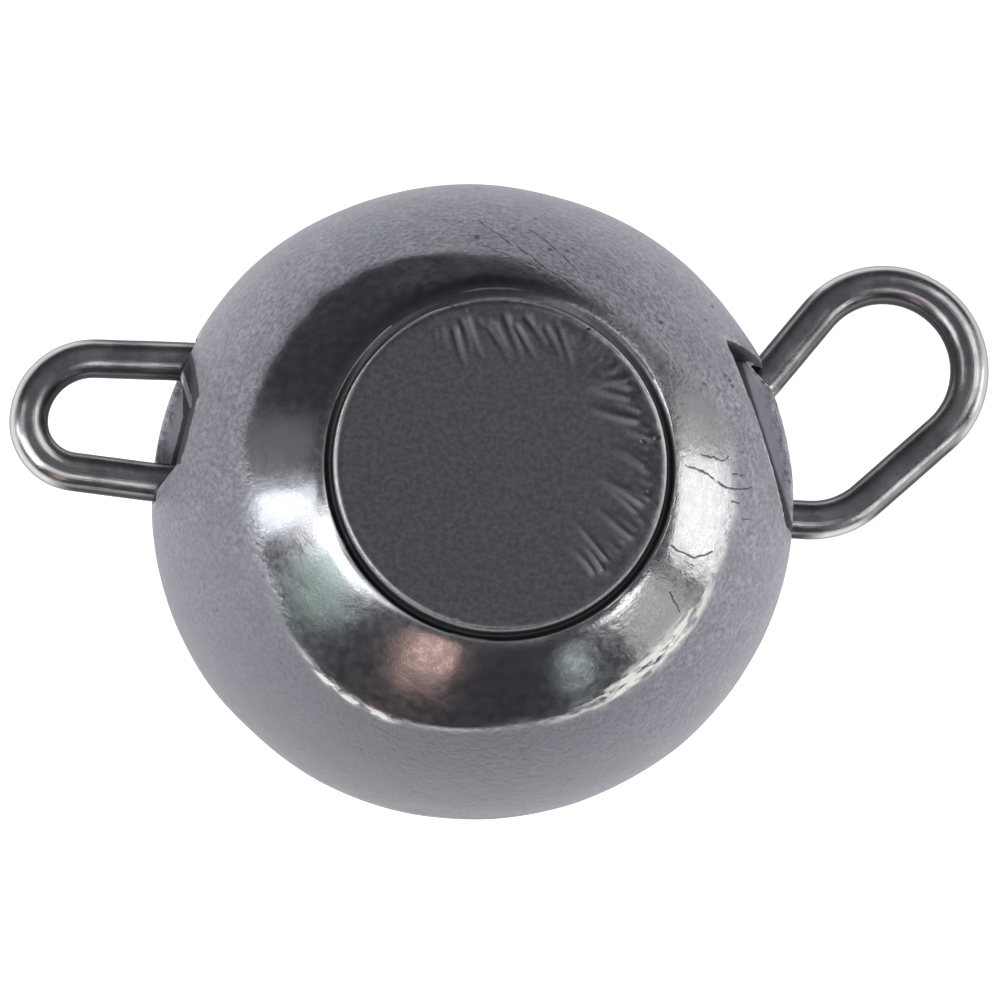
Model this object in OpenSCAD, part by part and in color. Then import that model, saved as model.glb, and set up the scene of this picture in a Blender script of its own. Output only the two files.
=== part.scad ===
// Take-apart ball sinker: a cast lead ball with two flats and a slot cast through it,
// and a one-piece spring wire clip that lies in the slot and makes an eye at each end.
// The ball rests on its lower flat. The origin is the middle of that flat, +Z is up,
// and +X runs from the line eye, through the ball, to the hook eye.

/* [Ball] */
// Diameter of the cast ball
ball_d = 13.6; // [12:0.1:16]
// Diameter of the flat on the top and of the flat underneath
flat_d = 7.0; // [5.6:0.1:7.6]
// Diameter of the circle where the round side meets the straight shoulder below a flat
shoulder_d = 10.2; // [9.4:0.1:11]
// Width of the groove round each flat
groove_w = 0.22; // [0.12:0.02:0.34]
// Depth of that groove below the shoulder beside it
groove_depth = 0.12; // [0.06:0.02:0.2]

/* [Slot through the ball] */
// Gap between the wire and the walls of the slot
slot_clear = 0.1; // [0.06:0.01:0.16]
// How much higher the slot is at its hook end than at its line end
slot_flare = 0.42; // [0.2:0.02:0.6]
// How far the upper lip is cut back from the side of the ball at the line end
line_lip_in = 0.5; // [0.3:0.02:0.8]
// Angle of that lip, in degrees off square
line_lip_skew = 8.3; // [0:0.1:14]
// How far the upper lip is cut back from the side of the ball at the hook end
hook_lip_in = 1.05; // [0.8:0.05:1.3]
// Angle of that lip, in degrees off square
hook_lip_skew = 22.3; // [12:0.1:28]
// Thickness of the shelf that the upper lip leaves over the slot at the hook end
shelf_t = 0.35; // [0.25:0.05:0.6]
// How far the corner of the shelf is cut back from the side of the ball
shelf_corner_in = 0.51; // [0.3:0.01:0.7]

/* [Wire clip] */
// Thickness of the spring wire
wire_d = 0.8; // [0.6:0.05:0.9]
// How far the middle of the clip lies to the side of the ball's centre
clip_offset = 1.35; // [1:0.05:1.5]
// Bend radius of the line eye, to the middle of the wire
line_eye_r = 1.23; // [1:0.05:1.4]
// How far the line eye's centre stands out from the side of the ball
line_eye_out = 1.54; // [1.4:0.05:2.4]
// How far inside the side of the ball the long leg turns out to the hook eye
hook_turn_in = 0.975; // [0.8:0.025:1.1]
// Angle of the arm that rises to the hook eye, in degrees
arm_angle = 53; // [46:1:60]
// Bend radius where the arm leaves the long leg, to the middle of the wire
arm_bend_r = 1.0; // [0.8:0.05:1.4]
// Length of the straight arm
arm_l = 1.83; // [1.6:0.05:2.4]
// Bend radius of the hook eye, to the middle of the wire
hook_eye_r = 1.815; // [1.6:0.05:2.2]
// Angle of the straight side that runs back to the ball, in degrees
return_angle = 44; // [38:1:48]
// Bend radius where that side turns in to the ball, to the middle of the wire
return_bend_r = 1.8; // [1.2:0.05:2]
// How far the hook eye's tail lies below the line eye's tail
tail_drop = 0.09; // [0:0.01:0.15]
// Gap between the two ends of the wire inside the ball
tail_gap = 1.4; // [0.8:0.1:2.4]

/* [Hidden] */
$fn = 96;

// Overrun of every cut past the face that it opens
over = 1;

// The ball, in its own frame with the origin at its centre
ball_r = ball_d / 2;
flat_r = flat_d / 2;
shoulder_r = shoulder_d / 2;
flat_z = sqrt(ball_r * ball_r - flat_r * flat_r);
shoulder_z = sqrt(ball_r * ball_r - shoulder_r * shoulder_r);
// The shoulder runs straight down from the flat's edge, and the groove is cut into it
shoulder_slope = (flat_z - shoulder_z) / (shoulder_r - flat_r);
groove_lip_z = flat_z - groove_w * shoulder_slope;
groove_floor_z = groove_lip_z - groove_depth;
// Width of the groove's floor as a share of its width at the shoulder
groove_floor_share = 0.45;

// Line eye and the two legs that leave it
line_eye_x = -ball_r - line_eye_out;
long_leg_y = clip_offset + line_eye_r;
line_tail_y = clip_offset - line_eye_r;
line_tail_l = -line_eye_x - tail_gap / 2;

// Long leg, up to the bend that turns it out to the hook eye
arm_tangent = arm_bend_r * tan(arm_angle / 2);
long_leg_l = ball_r - hook_turn_in - line_eye_x - arm_tangent;

// Return side and tail, which come back into the slot below the line eye's tail
hook_tail_y = line_tail_y - tail_drop;
return_tangent = return_bend_r * tan(return_angle / 2);

// A stage of the wire is its place and its heading: [x, y, heading in degrees]
function ahead(stage, l) = [
    stage[0] + l * cos(stage[2]),
    stage[1] + l * sin(stage[2]),
    stage[2]
];
// Centre of a bend of radius r that turns left for a positive turn and right for a negative one
function bend_centre(stage, r, turn) = [
    stage[0] - sign(turn) * r * sin(stage[2]),
    stage[1] + sign(turn) * r * cos(stage[2])
];
function past_bend(stage, r, turn) = [
    bend_centre(stage, r, turn)[0] + sign(turn) * r * sin(stage[2] + turn),
    bend_centre(stage, r, turn)[1] - sign(turn) * r * cos(stage[2] + turn),
    stage[2] + turn
];

hook_eye_turn = -(180 + arm_angle - return_angle);
long_leg_start = [line_eye_x, long_leg_y, 0];
arm_bend_start = ahead(long_leg_start, long_leg_l);
arm_start = past_bend(arm_bend_start, arm_bend_r, arm_angle);
hook_eye_start = ahead(arm_start, arm_l);
return_start = past_bend(hook_eye_start, hook_eye_r, hook_eye_turn);
return_l = (return_start[1] - hook_tail_y) / sin(return_angle) - return_tangent;
return_bend_start = ahead(return_start, return_l);
hook_tail_start = past_bend(return_bend_start, return_bend_r, -return_angle);
hook_tail_l = hook_tail_start[0] - tail_gap / 2;
line_eye_start = [line_eye_x, long_leg_y, 180];
line_tail_start = [line_eye_x, line_tail_y, 0];

// The slot follows the clip: its height from the wire, its width from the legs
slot_h = wire_d + 2 * slot_clear;
slot_low_y = hook_tail_y - wire_d / 2 - slot_clear;
slot_top_y = long_leg_y + wire_d / 2 + slot_clear;
slot_mid_y = (slot_low_y + slot_top_y) / 2;
slot_end_x = ball_r + over;

// One straight stretch of wire
module straight_wire(stage, l) {
    translate([stage[0], stage[1], 0])
        rotate([0, 90, stage[2]])
            cylinder(d = wire_d, h = l, $fn = 48);
}

// One bent stretch of wire
module bent_wire(stage, r, turn) {
    side = stage[2] - sign(turn) * 90;
    translate(bend_centre(stage, r, turn))
        rotate([0, 0, min(side, side + turn)])
            rotate_extrude(angle = abs(turn))
                translate([r, 0])
                    circle(d = wire_d, $fn = 48);
}

// Half of the turned section: round side, straight shoulder and flat, grooved at the flat
module ball_section() {
    difference() {
        intersection() {
            circle(d = ball_d);
            polygon([
                [0, -flat_z],
                [flat_r, -flat_z],
                [shoulder_r, -shoulder_z],
                [ball_r + over, -shoulder_z],
                [ball_r + over, shoulder_z],
                [shoulder_r, shoulder_z],
                [flat_r, flat_z],
                [0, flat_z]
            ]);
        }
        groove_section();
        mirror([0, 1]) groove_section();
    }
}

// Section of the groove round the upper flat
module groove_section() {
    polygon([
        [flat_r, flat_z + over],
        [flat_r, groove_floor_z],
        [flat_r + groove_w * groove_floor_share, groove_floor_z],
        [flat_r + groove_w, groove_lip_z],
        [flat_r + groove_w, flat_z + over]
    ]);
}

// Plan of the slot, which flares towards the hook eye
module slot_plan() {
    polygon([
        [-slot_end_x, slot_low_y],
        [slot_end_x, slot_low_y],
        [slot_end_x, slot_top_y + slot_flare],
        [-slot_end_x, slot_top_y]
    ]);
}

// Part of the slot's plan that lies outside a lip, at the end that the sign of side_x gives
module lip_plan(side_x, lip_in, skew) {
    intersection() {
        slot_plan();
        translate([side_x * (ball_r - lip_in), slot_mid_y])
            rotate([0, 0, side_x * skew])
                translate([side_x * ball_r / 2, 0])
                    square([ball_r, 2 * ball_d], center = true);
    }
}

// Part of the slot's plan that lies outside the shelf's corner, cut at 45 degrees
module shelf_corner_plan() {
    intersection() {
        slot_plan();
        rotate([0, 0, 45])
            translate([ball_r - shelf_corner_in, -ball_d])
                square([ball_r, 2 * ball_d]);
    }
}

module lead_weight() {
    color("#77777c")
        translate([0, 0, flat_z])
            difference() {
                rotate_extrude() ball_section();
                linear_extrude(height = slot_h, center = true) slot_plan();
                linear_extrude(height = ball_r + over)
                    lip_plan(-1, line_lip_in, line_lip_skew);
                translate([0, 0, slot_h / 2 + shelf_t])
                    linear_extrude(height = ball_r + over)
                        lip_plan(1, hook_lip_in, hook_lip_skew);
                linear_extrude(height = slot_h / 2 + shelf_t + over)
                    shelf_corner_plan();
            }
}

module wire_clip() {
    color("#5b5b58")
        translate([0, 0, flat_z]) {
            straight_wire(line_tail_start, line_tail_l);
            bent_wire(line_eye_start, line_eye_r, 180);
            straight_wire(long_leg_start, long_leg_l);
            bent_wire(arm_bend_start, arm_bend_r, arm_angle);
            straight_wire(arm_start, arm_l);
            bent_wire(hook_eye_start, hook_eye_r, hook_eye_turn);
            straight_wire(return_start, return_l);
            bent_wire(return_bend_start, return_bend_r, -return_angle);
            straight_wire(hook_tail_start, hook_tail_l);
        }
}

lead_weight();
wire_clip();
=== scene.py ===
import math
import random

import bmesh
import bpy
import numpy as np
from mathutils import Matrix, Vector, kdtree, noise


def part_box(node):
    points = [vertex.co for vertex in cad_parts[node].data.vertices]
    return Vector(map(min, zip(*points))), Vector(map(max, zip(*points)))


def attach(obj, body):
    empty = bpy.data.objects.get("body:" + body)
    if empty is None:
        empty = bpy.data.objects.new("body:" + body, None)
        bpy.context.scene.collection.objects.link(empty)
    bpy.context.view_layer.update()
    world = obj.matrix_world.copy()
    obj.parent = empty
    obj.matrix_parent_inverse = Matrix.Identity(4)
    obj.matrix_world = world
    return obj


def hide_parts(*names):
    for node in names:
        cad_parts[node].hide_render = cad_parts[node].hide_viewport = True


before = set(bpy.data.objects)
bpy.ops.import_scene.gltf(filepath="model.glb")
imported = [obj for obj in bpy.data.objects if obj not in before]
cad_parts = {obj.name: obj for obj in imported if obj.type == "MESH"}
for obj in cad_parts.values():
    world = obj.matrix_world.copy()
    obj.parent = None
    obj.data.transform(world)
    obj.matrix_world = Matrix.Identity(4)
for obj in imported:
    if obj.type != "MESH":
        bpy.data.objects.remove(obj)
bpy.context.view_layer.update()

# The ball. It is lead, poured in one go in a two-part mould with a blade across it that leaves
# the slot. Its two flats are pressed true, each with a narrow groove round it, and the shoulder
# outside the groove is burnished by the press, while the round side keeps its cast grain.
MM = 0.001
ball_r = 6.8
flat_r = 3.5
shoulder_r = 5.1
flat_z = math.sqrt(ball_r**2 - flat_r**2)
shoulder_z = math.sqrt(ball_r**2 - shoulder_r**2)
shoulder_lean = math.atan2(flat_z - shoulder_z, shoulder_r - flat_r)
shoulder_d = flat_r * math.sin(shoulder_lean) + flat_z * math.cos(shoulder_lean)
ball_low, ball_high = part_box("lead_weight")
centre_z = (ball_low.z + ball_high.z) / 2
# The ball is made of rows of places round its axis, each at these angles
columns = 480
turn = np.linspace(0, 2 * math.pi, columns, endpoint=False)


def hump(angle, middle_deg, width_deg):
    """1 at middle_deg round the ball, falling to nothing over about width_deg to each side."""
    off = (angle - math.radians(middle_deg) + math.pi) % (2 * math.pi) - math.pi
    return np.exp(-((off / math.radians(width_deg)) ** 2))


def out_of_round(angle):
    """How far the cast side stands out from a true ball, in mm: it is a little wider than deep."""
    oval = -0.01 + 0.04 * np.cos(2 * angle)
    high = 0.07 * hump(angle, 133, 14) + 0.03 * hump(angle, 29, 5)
    low = -0.045 * hump(angle, 231, 10) - 0.026 * hump(angle, 79, 12)
    return oval + high + low


# How far out the press reached, as pairs of degrees round the ball and mm from its axis. Above,
# it bit deepest towards -X and -Y, and hardly at all at about 60 degrees
reach_above = [(5, 5.18), (21, 5.02), (36, 4.5), (50, 4.3), (62, 4.27), (74, 4.34), (87, 4.6)]
reach_above += [(104, 4.85), (128, 5.13), (158, 5.28), (178, 5.34), (197, 5.2), (214, 5.38)]
reach_above += [(229, 5.56), (250, 5.6), (266, 5.46), (293, 5.31), (312, 5.23), (336, 5.13)]
reach_below = [(20, 5.3), (70, 5.22), (130, 4.95), (190, 4.86), (250, 5.02), (310, 5.2)]


def crease_radius(angle, side):
    """Distance from the axis at which the pressed shoulder ends, in mm."""
    table = reach_above if side > 0 else reach_below
    at = np.radians([degrees for degrees, _ in table])
    reach_mm = [mm for _, mm in table]
    # The mean over a few degrees to each side rounds the corners between the pairs
    shifts_deg = range(-8, 9, 2)
    total = 0.0
    for shift_deg in shifts_deg:
        shifted = angle + math.radians(shift_deg)
        total = total + np.interp(shifted, at, reach_mm, period=2 * math.pi)
    return total / len(shifts_deg)


def crease_polar(angle, side):
    """Angle from the axis at which the pressed shoulder ends."""
    return np.arcsin(crease_radius(angle, side) / ball_r)


def shoulder_sag(angle, side):
    """How much deeper the press bit on one side than on the other, in mm."""
    return shoulder_d - ball_r * np.cos(crease_polar(angle, side) - shoulder_lean)


def burred(angle, side):
    """1 where the press pushed up a sharp burr along the end of the shoulder."""
    if side > 0:
        return np.clip(1.7 * hump(angle, 240, 9) + 1.4 * hump(angle, 312, 18), 0, 1)
    return hump(angle, 150, 20)


def groove_width(angle, side):
    """How many times wider and softer the groove is than at its sharpest."""
    return 1 + (0.3 * hump(angle, 92, 33) if side > 0 else 0.2 * hump(angle, 300, 50))


def soft_min(a, b, blend):
    """The smaller of a and b, with the corner between them rounded over about blend."""
    h = np.clip(0.5 + 0.5 * (b - a) / blend, 0, 1)
    return b * (1 - h) + a * h - blend * h * (1 - h)


# Places across the flat, its rounded rim and the groove, as radius and drop below the flat in mm
flat_places = {
    1: [(r, 0.0) for r in [*np.linspace(0.28, 1.68, 6), *np.arange(1.84, 3.24, 0.066)]],
    -1: [(r, 0.0) for r in [*np.linspace(0.3, 1.8, 5), *np.arange(2.0, 3.24, 0.11)]],
}
rim = [(3.3, 0.0), (3.36, 0.002), (3.4, 0.007), (3.43, 0.016), (3.455, 0.029), (3.475, 0.046)]
rim += [(3.49, 0.07), (3.499, 0.105), (3.505, 0.16)]
groove = [(3.508, 0.225), (3.522, 0.275), (3.548, 0.302), (3.582, 0.306), (3.615, 0.285)]
groove += [(3.648, 0.252), (3.68, 0.22)]
# The places inside even_r stay where they are when the groove is wider, and the rest move in
even_r = 1.75
even_span = 1.55
flat_end_r = 3.27
rim_in = 0.2
shoulder_start_r = 3.725
shoulder_start_drop = 0.19
groove_top_drop = 0.13
groove_drop = 0.17
lip_span = math.radians(2.6)
burr_h = 0.05
burr_half = math.radians(0.66)
# Degrees from the start of the shoulder, from its end, and from the axis down to the seam
start_steps = (0.0, 0.35, 0.8, 1.4, 2.1)
crease_steps = (-1.0, -0.6, -0.33, -0.15, 0.0, 0.15, 0.33, 0.6, 1.0)
seam_steps = (89.1, 89.5, 89.8)
beside_crease = math.radians(1.5)
side_end = np.radians(88.4)


def half_ball(side, shoulder_rows, side_rows):
    """Rows of the upper (side 1) or lower (side -1) half from the flat to the equator, in mm."""
    rows = []
    wide = groove_width(turn, side)
    sag = shoulder_sag(turn, side)
    lip_fall = 0.012 + 0.05 * hump(turn, 219, 20) + 0.022 * hump(turn, 305, 32)
    lip_fall += 0.02 * hump(turn, 112, 46)
    # At the back there is hardly a groove: the rim runs out into the shoulder
    plain_share = 0.9 * hump(turn, 100, 46) * (side > 0)
    plain_end = 0.187 + 1.29 * lip_fall
    spread = (flat_r - rim_in * wide - even_r) / even_span
    for r, drop in flat_places[side] + rim + groove:
        if r < flat_end_r:
            kind = "flat"
            radius = np.where(r > even_r, even_r + (r - even_r) * spread, r)
        else:
            kind = "rim"
            radius = flat_r + (r - flat_r) * wide
        in_groove = min(1.0, max(0.0, (drop - groove_top_drop) / groove_drop))
        plain_drop = plain_end * max(0.0, (r - 3.38) / 0.345) ** 1.25
        depth = drop + (plain_drop - drop) * plain_share
        rows.append((radius, flat_z - depth - 0.6 * sag * in_groove, kind))
    start_r = flat_r + (shoulder_start_r - flat_r) * wide
    start = np.arctan2(start_r, flat_z - shoulder_start_drop)
    crease = crease_polar(turn, side)
    polar = [start + math.radians(k) for k in start_steps]
    first = polar[-1]
    for share in np.linspace(0, 1, shoulder_rows)[1:]:
        polar.append(first + (crease - beside_crease - first) * share)
    polar += [crease + math.radians(k) for k in crease_steps]
    for share in np.linspace(0, 1, side_rows):
        polar.append(crease + beside_crease + (side_end - (crease + beside_crease)) * share)
    polar += [np.full(columns, math.radians(k)) for k in seam_steps]
    burr = burred(turn, side)
    broken = [noise.noise(Vector((11 * math.cos(t), 11 * math.sin(t), side))) for t in turn]
    jagged = [noise.noise(Vector((27 * math.cos(t), 27 * math.sin(t), side))) for t in turn]
    ragged = np.clip(0.6 + 1.3 * np.array(broken) + 1.1 * np.array(jagged), 0, 1)
    # The shoulder is a little rounded, except at the back
    belly = 0.03 + (0.018 * hump(turn, 262, 60) - 0.042 * hump(turn, 92, 52)) * (side > 0)
    # Where the press bit least, the shoulder runs out softly into the cast side
    run_out = 0.006 + 0.04 * hump(turn, 50, 30) + 0.022 * hump(turn, 195, 40)
    for a in polar:
        cast_r = ball_r + out_of_round(turn) * np.sin(a) ** 2
        pressed = (shoulder_d - sag) / np.cos(np.minimum(a, 1.35) - shoulder_lean)
        reach = np.where(a > 1.2, cast_r, soft_min(cast_r, pressed, run_out))
        across = np.clip((a - start) / (crease - start), 0, 1)
        reach += belly * 4 * across * (1 - across)
        reach -= lip_fall * np.clip(1 - (a - start) / lip_span, 0, 1) ** 2
        reach += burr_h * burr * ragged * np.exp(-(((a - crease) / burr_half) ** 2))
        rows.append((reach * np.sin(a), reach * np.cos(a), "side"))
    return rows


upper = half_ball(1, 12, 24)
lower = half_ball(-1, 9, 20)
equator = (ball_r + out_of_round(turn), np.zeros(columns), "side")
rows = [(r, z, kind, 1) for r, z, kind in upper] + [(*equator, 0)]
rows += [(r, -z, kind, -1) for r, z, kind in reversed(lower)]
row_r = np.array([row[0] for row in rows])
row_z = np.array([row[1] for row in rows])
row_kind = np.array([row[2] for row in rows])
row_side = np.array([row[3] for row in rows])

# Out of the surface at each row, from the places of the rows before and after it
run_r = np.gradient(row_r, axis=0)
run_z = np.gradient(row_z, axis=0)
run = np.sqrt(run_r**2 + run_z**2)
out_r = -run_z / run
out_z = run_r / run

# Small hollows and swells of the casting: height in mm, how many to the millimetre, and where in
# the noise. The flat lies a little low, so that its swells stay under its rim
swells_of = {
    "side": [
        (0.03, 0.23, (3.1, 0, 7.7)),
        (0.007, 0.95, (0, 5.2, 1.3)),
        (0.0022, 3.1, (8.4, 2.0, 0)),
    ],
    "rim": [(0.006, 1.9, (4.4, 4.4, 0))],
    "flat": [(0.004, 0.8, (1.0, 9.0, 2.0))],
}
sunk_by = {"side": 0.0, "rim": 0.0, "flat": 0.004}
place = np.stack([row_r * np.cos(turn), row_r * np.sin(turn), row_z], axis=-1)
swell = np.zeros(row_r.shape)
for j, kind in enumerate(row_kind):
    for i in range(columns):
        p = Vector(place[j, i])
        swell[j, i] = -sunk_by[kind]
        for height, per_mm, offset in swells_of[kind]:
            swell[j, i] += height * noise.noise(p * per_mm + Vector(offset))

# Knocks from lying loose among other sinkers: shallow flattened spots
knocks = random.Random(41)
knock_count = 26
for _ in range(knock_count):
    azimuth = knocks.uniform(0, 2 * math.pi)
    height = knocks.uniform(-0.62, 0.62)
    width = knocks.uniform(0.25, 0.6)
    depth = knocks.uniform(0.004, 0.012)
    level = math.sqrt(1 - height**2)
    spot = ball_r * np.array([level * math.cos(azimuth), level * math.sin(azimuth), height])
    away = np.linalg.norm(place - spot, axis=-1)
    swell -= depth * np.clip(1 - (away / width) ** 2, 0, 1)

# The seam of the mould at the ball's middle, mostly rubbed down
seam_h = 0.012
seam_half = 0.045
seam_break = np.array([noise.noise(Vector((6 * math.cos(t), 6 * math.sin(t), 0.5))) for t in turn])
seam_left = seam_h * np.clip(0.45 + 1.1 * seam_break, 0, 1)
swell += np.exp(-((row_z / seam_half) ** 2)) * seam_left * (np.abs(row_z) < 0.3)

# Flow lines near the rim, where the metal was pushed to the side that filled last: degrees round
# the flat where they start, with the degrees in which they run in from there
flow_runs = [(-48, 132), (-23, 140), (-12, 153), (9, 162), (34, 166), (42, 205), (62, 255)]
flow_runs += [(72, 296), (81, 305), (90, 298), (99, 303), (105, 292), (118, 290)]
# Least and greatest length and height in mm of a strong line and of a faint one
stroke_lengths = {True: (0.75, 1.25), False: (0.25, 0.6)}
stroke_heights = {True: (0.009, 0.015), False: (0.004, 0.008)}
strong_share = 0.45
strokes = []
flow = random.Random(7)
for side, turned in ((1, 0), (-1, 160)):
    at = flow_runs[0][0]
    while at < flow_runs[-1][0]:
        run_deg = np.interp(at, [start for start, _ in flow_runs], [run for _, run in flow_runs])
        strong = flow.random() < strong_share
        # At about 52 degrees the lines are rubbed down
        left = 1 - 0.7 * math.exp(-(((at - 52) / 15) ** 2))
        outer = flow.uniform(3.02, 3.28)
        start = math.radians(at + turned)
        strokes.append(
            {
                "side": side,
                "start": (outer * math.cos(start), outer * math.sin(start)),
                "heading": math.radians(run_deg + turned + flow.uniform(-7, 7)),
                "length": left * flow.uniform(*stroke_lengths[strong]),
                "width": flow.uniform(0.046, 0.068),
                "height": left * flow.uniform(*stroke_heights[strong]),
                "bow": flow.uniform(-0.05, 0.05),
            }
        )
        at += flow.uniform(1.8, 4.2)


def flow_lines(x, y, side):
    """Height of the flow lines over one flat at x, y in mm, and how deep their hollows are."""
    lines = np.zeros(np.shape(x))
    hollows = np.zeros(np.shape(x))
    for stroke in strokes:
        if stroke["side"] != side:
            continue
        ahead = (math.cos(stroke["heading"]), math.sin(stroke["heading"]))
        from_x = x - stroke["start"][0]
        from_y = y - stroke["start"][1]
        share = np.clip((from_x * ahead[0] + from_y * ahead[1]) / stroke["length"], 0, 1)
        across = from_y * ahead[0] - from_x * ahead[1] - 4 * stroke["bow"] * share * (1 - share)
        # A line starts steeply at the rim and dies away inwards
        crest = (1 - share) ** 0.8 * np.minimum(1, 9 * share)
        crest = stroke["height"] * np.where((share > 0) & (share < 1), crest, 0)
        lines = np.maximum(lines, crest * np.exp(-((across / stroke["width"]) ** 2)))
        beside = (across + 1.9 * stroke["width"]) / (1.1 * stroke["width"])
        hollows = np.maximum(hollows, crest * np.exp(-(beside**2)))
    return lines - 0.5 * hollows


for side in (1, -1):
    on_flat = (row_side[:, None] == side) & (row_kind[:, None] == "flat") & (row_r > 1.2)
    swell += flow_lines(place[..., 0], place[..., 1], side) * on_flat

place[..., 0] += swell * out_r * np.cos(turn)
place[..., 1] += swell * out_r * np.sin(turn)
place[..., 2] += swell * out_z
flat_rise = 0.018
place[..., 2] = np.clip(place[..., 2], -flat_z, flat_z + flat_rise)

# The mesh of the ball, still without its slot
solid = bmesh.new()
grid = [[solid.verts.new(place[j, i]) for i in range(columns)] for j in range(len(rows))]
for j in range(len(rows) - 1):
    for i in range(columns):
        k = (i + 1) % columns
        solid.faces.new((grid[j][i], grid[j + 1][i], grid[j + 1][k], grid[j][k]))
top_middle = solid.verts.new((0, 0, flat_z - 0.004))
bottom_middle = solid.verts.new((0, 0, 0.004 - flat_z))
for i in range(columns):
    k = (i + 1) % columns
    solid.faces.new((top_middle, grid[0][i], grid[0][k]))
    solid.faces.new((bottom_middle, grid[-1][k], grid[-1][i]))
ball_mesh = bpy.data.meshes.new("cast_lead_ball")
solid.to_mesh(ball_mesh)
solid.free()
ball = bpy.data.objects.new("cast_lead_ball", ball_mesh)
bpy.context.scene.collection.objects.link(ball)

# The slot, and the places where its lips are cut back. At the hook end the upper lip's corner
# hangs a little lower than the slot's own wall
slot_half = 0.5
slot_low_y = -0.42
slot_line_y = 3.08
slot_hook_y = 3.5
slot_end_x = 7.8
slot_mid_y = (slot_low_y + slot_line_y) / 2
shelf_z = 0.85
slot_plan = [
    (-slot_end_x, slot_low_y),
    (slot_end_x, slot_low_y),
    (slot_end_x, slot_hook_y),
    (-slot_end_x, slot_line_y),
]


def beyond(plan, through, angle_deg):
    """The part of a plan that lies past a line through a point, square to a heading."""
    normal = Vector((math.cos(math.radians(angle_deg)), math.sin(math.radians(angle_deg))))
    kept = []
    for a, b in zip(plan, plan[1:] + plan[:1]):
        past_a = (Vector(a) - Vector(through)).dot(normal)
        past_b = (Vector(b) - Vector(through)).dot(normal)
        if past_a >= 0:
            kept.append(tuple(a))
        if past_a * past_b < 0:
            kept.append(tuple(Vector(a).lerp(Vector(b), past_a / (past_a - past_b))))
    return kept


def boolean(target, tool, operation):
    """Joins tool to target, or cuts it out of it, and removes the tool."""
    step = target.modifiers.new(tool.name, "BOOLEAN")
    step.operation = operation
    step.solver = "EXACT"
    step.object = tool
    graph = bpy.context.evaluated_depsgraph_get()
    result = bpy.data.meshes.new_from_object(target.evaluated_get(graph))
    target.modifiers.clear()
    target.data = result
    bpy.data.objects.remove(tool)


hook_lip = ((ball_r - 1.08, slot_mid_y), 23.2)
corner_reach = ball_r - 0.51
corner_line = ((corner_reach * math.cos(math.pi / 4), corner_reach * math.sin(math.pi / 4)), 45)
inward_hook = (hook_lip[0], hook_lip[1] + 180)
inward_corner = (corner_line[0], corner_line[1] + 180)
hanging = ((5.5, 3.23), 81.8)
below_hanging = (hanging[0], hanging[1] + 180)
# Each part of the slot's plan, with the layers of height in which it is open
layers = (-slot_half, slot_half, shelf_z, ball_r + 1)
mouth = beyond(beyond(slot_plan, *hook_lip), *inward_corner)
cut_corner = beyond(slot_plan, *corner_line)
# The near lip of the line mouth: its foot, the corner that covers the wire's lower side, its
# middle and its top, and the tip of the narrow ledge over the wire's upper side
lip_foot = (-6.555, slot_low_y)
lip_corner = (-6.426, 0.219)
lip_middle = (-6.155, 1.56)
lip_top = (-6.25, 3.1217)
cover_foot = (-6.934, slot_low_y)
ledge_tip = (-6.49, 2.5)
line_end = [slot_plan[0], cover_foot, lip_corner, lip_middle, ledge_tip, lip_top, slot_plan[3]]
middle = [lip_foot, slot_plan[1], slot_plan[2], lip_top, lip_middle, lip_corner]
middle = beyond(middle, *inward_hook)
openings = [
    (line_end, (0, 1, 2)),
    ([cover_foot, lip_foot, lip_corner], (0,)),
    ([lip_middle, lip_top, ledge_tip], (0, 2)),
    (beyond(middle, *below_hanging), (0,)),
    (beyond(middle, *hanging), (0,)),
    (beyond(mouth, *below_hanging), (0, 2)),
    (beyond(mouth, *hanging), (0,)),
    (beyond(cut_corner, *below_hanging), (0, 1, 2)),
    (beyond(cut_corner, *hanging), (0,)),
]
blade = bmesh.new()
corners = {}


def corner(point, level):
    """The blade's corner over a point of the plan, made once."""
    key = (round(point[0], 4), round(point[1], 4), level)
    if key not in corners:
        corners[key] = blade.verts.new((key[0], key[1], layers[level]))
    return corners[key]


def plan_edges(plan):
    """The sides of a plan, each as its two rounded ends."""
    ends = [(round(x, 4), round(y, 4)) for x, y in plan]
    return list(zip(ends, ends[1:] + ends[:1]))


filled = {(n, level) for n, (_, levels) in enumerate(openings) for level in levels}
owner = {side: n for n, (plan, _) in enumerate(openings) for side in plan_edges(plan)}
for n, level in sorted(filled):
    plan = openings[n][0]
    if (n, level - 1) not in filled:
        blade.faces.new([corner(point, level) for point in reversed(plan)])
    if (n, level + 1) not in filled:
        blade.faces.new([corner(point, level + 1) for point in plan])
    for a, b in plan_edges(plan):
        if (owner.get((b, a)), level) not in filled:
            wall = (corner(a, level), corner(b, level), corner(b, level + 1), corner(a, level + 1))
            blade.faces.new(wall)
blade_mesh = bpy.data.meshes.new("slot_tool")
blade.to_mesh(blade_mesh)
blade.free()
slot_tool = bpy.data.objects.new("slot_tool", blade_mesh)
bpy.context.scene.collection.objects.link(slot_tool)

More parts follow.
